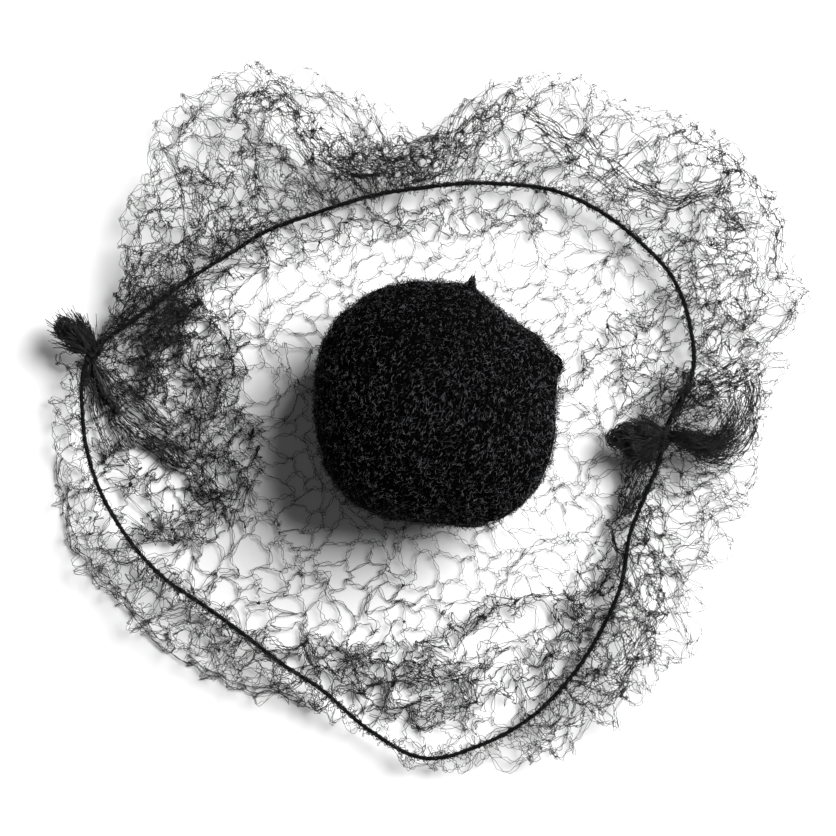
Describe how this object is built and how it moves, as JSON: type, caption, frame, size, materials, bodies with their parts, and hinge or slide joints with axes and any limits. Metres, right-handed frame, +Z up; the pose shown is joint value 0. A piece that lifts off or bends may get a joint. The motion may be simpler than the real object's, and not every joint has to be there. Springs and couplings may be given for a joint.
{
  "type": "hairnet with bun pad",
  "caption": "Soft net pouch gathered into an elastic rim, laid open with knotted frayed ends and a round net covered bun pad in its middle.",
  "frame": {"origin": "under the middle of the whole object's box, on the surface that the net lies on", "axes": "+X along the longest spread, from the left tuft to the right tuft, +Y towards the two wide lobes at the back, +Z up out of the open mouth"},
  "size_m": [0.1892, 0.1752, 0.0492],
  "materials": {
    "net": "fine black nylon net, slightly glossy filament",
    "elastic": "matt black covered elastic thread",
    "pad": "matt black dense knitted net"
  },
  "bodies": {
    "root": {"net_bag": "net", "rim_elastic": "elastic", "left_tuft": "net", "right_tuft": "net", "bun_pad": "pad"}
  },
  "joints": []
}
